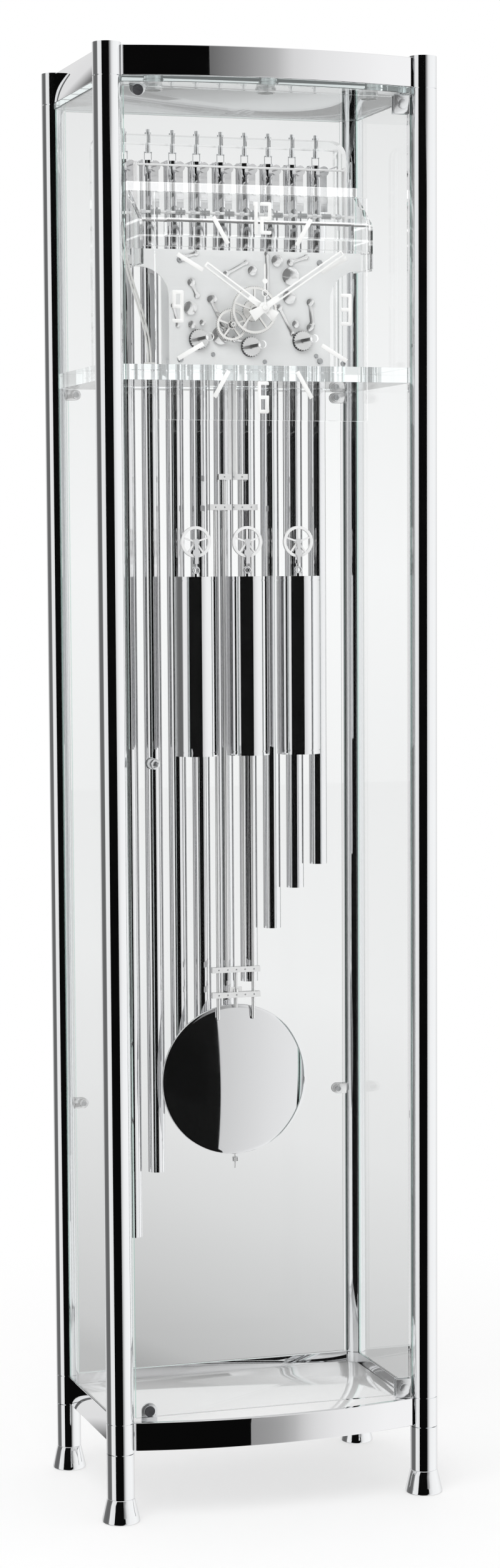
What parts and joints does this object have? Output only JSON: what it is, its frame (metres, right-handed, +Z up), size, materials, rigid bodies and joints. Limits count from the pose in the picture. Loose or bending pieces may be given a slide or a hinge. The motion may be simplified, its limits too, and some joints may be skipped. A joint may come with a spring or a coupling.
{
  "type": "longcase clock",
  "caption": "Free-standing floor clock: a chrome and glass case with a bowed front, a glazed door, a skeleton movement, tubular bells, cable-driven weights and a gridiron pendulum.",
  "frame": {"origin": "on the floor, under the middle of the clock's overall width and depth", "axes": "+Z up, -Y towards the viewer who faces the dial, +X to that viewer's right"},
  "size_m": [0.4939, 0.3423, 1.98],
  "materials": {
    "chrome_posts": "polished, mirror-like",
    "chrome_rails": "polished, mirror-like",
    "steel_plate": "satin",
    "steel_parts": "fine satin",
    "chrome_weights": "polished, mirror-like",
    "chrome_bob": "polished, mirror-like",
    "chrome_bells": "polished",
    "glass_clear": "clear float glass with green edges",
    "acrylic_clear": "clear cast acrylic with polished edges",
    "white_paint": "matte white",
    "hand_white": "white satin",
    "wheel_steel": "fine satin",
    "cable_steel": "twisted steel",
    "lamp_metal": "satin",
    "lead_plastic": "black, with a white plug",
    "hammer_metal": "polished"
  },
  "bodies": {
    "case": {"posts": "chrome_posts", "corner_sleeves": "chrome_posts", "legs": "chrome_posts", "feet": "chrome_posts", "front_rails": "chrome_rails", "straight_rails": "chrome_rails", "top_panel": "glass_clear", "floor_plate": "steel_plate", "wall_glass": "glass_clear", "post_clamps": "steel_parts", "door_seats": "steel_parts", "downlights": "lamp_metal", "seat_shelf": "acrylic_clear", "tube_rack": "acrylic_clear", "tube_hangers": "steel_parts", "tubular_bells": "chrome_bells", "hammer_rail": "steel_parts", "front_plate": "steel_plate", "back_plate": "steel_plate", "movement_pillars": "steel_parts", "front_levers": "steel_parts", "hood": "acrylic_clear", "dial_plate": "acrylic_clear", "dial_markers": "white_paint", "lamp_lead": "lead_plastic", "cable_leads": "cable_steel", "cable_left": "cable_steel", "cable_middle": "cable_steel", "cable_right": "cable_steel"},
    "door": {"door_glass": "glass_clear", "door_knob": "steel_parts", "door_hinges": "steel_parts"},
    "hour_body": {"hour_hand": "hand_white", "hour_wheel": "wheel_steel"},
    "minute_body": {"minute_hand": "hand_white", "cannon_pinion": "wheel_steel"},
    "seconds_body": {"seconds_hand": "hand_white", "escape_wheel": "wheel_steel"},
    "minute_wheel_body": {"minute_wheel": "wheel_steel"},
    "anchor_body": {"anchor": "steel_parts"},
    "pendulum_body": {"pendulum_frame": "steel_parts", "pendulum_bob": "chrome_bob"},
    "weight_body_left": {"weight_left": "chrome_weights"},
    "pulley_body_left": {"pulley_left": "steel_parts"},
    "drum_body_left": {"drum_left": "steel_parts"},
    "weight_body_middle": {"weight_middle": "chrome_weights"},
    "pulley_body_middle": {"pulley_middle": "steel_parts"},
    "drum_body_middle": {"drum_middle": "steel_parts"},
    "weight_body_right": {"weight_right": "chrome_weights"},
    "pulley_body_right": {"pulley_right": "steel_parts"},
    "drum_body_right": {"drum_right": "steel_parts"},
    "hammer_body_1": {"hammer_1": "hammer_metal"},
    "hammer_body_2": {"hammer_2": "hammer_metal"},
    "hammer_body_3": {"hammer_3": "hammer_metal"},
    "hammer_body_4": {"hammer_4": "hammer_metal"},
    "hammer_body_5": {"hammer_5": "hammer_metal"},
    "hammer_body_6": {"hammer_6": "hammer_metal"},
    "hammer_body_7": {"hammer_7": "hammer_metal"},
    "hammer_body_8": {"hammer_8": "hammer_metal"},
    "hammer_body_9": {"hammer_9": "hammer_metal"}
  },
  "joints": [
    {"name": "door_hinge", "type": "hinge", "parent": "case", "child": "door", "pos_m": [0.19, -0.13425, 1.035], "axis": [0, 0, 1], "range_deg": [0, 105]},
    {"name": "minute_arbor", "type": "hinge", "parent": "case", "child": "minute_body", "pos_m": [0, -0.09325, 1.643], "axis": [0, 1, 0], "continuous": true},
    {"name": "hour_pipe", "type": "hinge", "parent": "case", "child": "hour_body", "pos_m": [0, -0.09325, 1.643], "axis": [0, 1, 0], "continuous": true},
    {"name": "seconds_arbor", "type": "hinge", "parent": "case", "child": "seconds_body", "pos_m": [0, -0.09325, 1.643], "axis": [0, 1, 0], "continuous": true},
    {"name": "minute_wheel_arbor", "type": "hinge", "parent": "case", "child": "minute_wheel_body", "pos_m": [-0.03029, -0.06525, 1.62355], "axis": [0, 1, 0], "continuous": true},
    {"name": "pendulum_pivot", "type": "hinge", "parent": "case", "child": "pendulum_body", "pos_m": [0, 0.03175, 1.675], "axis": [0, 1, 0], "range_deg": [-3, 3]},
    {"name": "anchor_arbor", "type": "hinge", "parent": "case", "child": "anchor_body", "pos_m": [0, -0.01325, 1.675], "axis": [0, 1, 0], "range_deg": [-3, 3]},
    {"name": "weight_drop_left", "type": "slide", "parent": "case", "child": "weight_body_left", "axis": [0, 0, 1], "range_m": [-0.88, 0.18], "deforming": ["cable_left"]},
    {"name": "drum_turn_left", "type": "hinge", "parent": "case", "child": "drum_body_left", "pos_m": [-0.074, -0.03325, 1.604], "axis": [0, 1, 0], "range_deg": [-5060, 1040]},
    {"name": "pulley_turn_left", "type": "hinge", "parent": "weight_body_left", "child": "pulley_body_left", "pos_m": [-0.074, -0.03325, 1.331], "axis": [0, 1, 0], "range_deg": [-2530, 520]},
    {"name": "weight_drop_middle", "type": "slide", "parent": "case", "child": "weight_body_middle", "axis": [0, 0, 1], "range_m": [-0.88, 0.18], "deforming": ["cable_middle"]},
    {"name": "drum_turn_middle", "type": "hinge", "parent": "case", "child": "drum_body_middle", "pos_m": [0, -0.03325, 1.595], "axis": [0, 1, 0], "range_deg": [-5060, 1040]},
    {"name": "pulley_turn_middle", "type": "hinge", "parent": "weight_body_middle", "child": "pulley_body_middle", "pos_m": [0, -0.03325, 1.331], "axis": [0, 1, 0], "range_deg": [-2530, 520]},
    {"name": "weight_drop_right", "type": "slide", "parent": "case", "child": "weight_body_right", "axis": [0, 0, 1], "range_m": [-0.88, 0.18], "deforming": ["cable_right"]},
    {"name": "drum_turn_right", "type": "hinge", "parent": "case", "child": "drum_body_right", "pos_m": [0.074, -0.03325, 1.604], "axis": [0, 1, 0], "range_deg": [-5060, 1040]},
    {"name": "pulley_turn_right", "type": "hinge", "parent": "weight_body_right", "child": "pulley_body_right", "pos_m": [0.074, -0.03325, 1.331], "axis": [0, 1, 0], "range_deg": [-2530, 520]},
    {"name": "hammer_swing_1", "type": "hinge", "parent": "case", "child": "hammer_body_1", "pos_m": [-0.14, -0.01525, 1.775], "axis": [-1, 0, 0], "range_deg": [0, 8]},
    {"name": "hammer_swing_2", "type": "hinge", "parent": "case", "child": "hammer_body_2", "pos_m": [-0.105, -0.01525, 1.775], "axis": [-1, 0, 0], "range_deg": [0, 8]},
    {"name": "hammer_swing_3", "type": "hinge", "parent": "case", "child": "hammer_body_3", "pos_m": [-0.07, -0.01525, 1.775], "axis": [-1, 0, 0], "range_deg": [0, 8]},
    {"name": "hammer_swing_4", "type": "hinge", "parent": "case", "child": "hammer_body_4", "pos_m": [-0.035, -0.01525, 1.775], "axis": [-1, 0, 0], "range_deg": [0, 8]},
    {"name": "hammer_swing_5", "type": "hinge", "parent": "case", "child": "hammer_body_5", "pos_m": [0, -0.01525, 1.775], "axis": [-1, 0, 0], "range_deg": [0, 8]},
    {"name": "hammer_swing_6", "type": "hinge", "parent": "case", "child": "hammer_body_6", "pos_m": [0.035, -0.01525, 1.775], "axis": [-1, 0, 0], "range_deg": [0, 8]},
    {"name": "hammer_swing_7", "type": "hinge", "parent": "case", "child": "hammer_body_7", "pos_m": [0.07, -0.01525, 1.775], "axis": [-1, 0, 0], "range_deg": [0, 8]},
    {"name": "hammer_swing_8", "type": "hinge", "parent": "case", "child": "hammer_body_8", "pos_m": [0.105, -0.01525, 1.775], "axis": [-1, 0, 0], "range_deg": [0, 8]},
    {"name": "hammer_swing_9", "type": "hinge", "parent": "case", "child": "hammer_body_9", "pos_m": [0.14, -0.01525, 1.775], "axis": [-1, 0, 0], "range_deg": [0, 8]}
  ],
  "couplings": [
    {"joint": "hour_pipe", "follows": "minute_arbor", "ratio": 0.083333},
    {"joint": "seconds_arbor", "follows": "minute_arbor", "ratio": 60},
    {"joint": "minute_wheel_arbor", "follows": "minute_arbor", "ratio": -0.66667},
    {"joint": "anchor_arbor", "follows": "pendulum_pivot", "ratio": 1},
    {"joint": "drum_turn_left", "follows": "weight_drop_left", "rad_per_m": 97.561},
    {"joint": "pulley_turn_left", "follows": "weight_drop_left", "rad_per_m": 48.781},
    {"joint": "drum_turn_middle", "follows": "weight_drop_middle", "rad_per_m": 97.561},
    {"joint": "pulley_turn_middle", "follows": "weight_drop_middle", "rad_per_m": 48.781},
    {"joint": "drum_turn_right", "follows": "weight_drop_right", "rad_per_m": 97.561},
    {"joint": "pulley_turn_right", "follows": "weight_drop_right", "rad_per_m": 48.781}
  ]
}
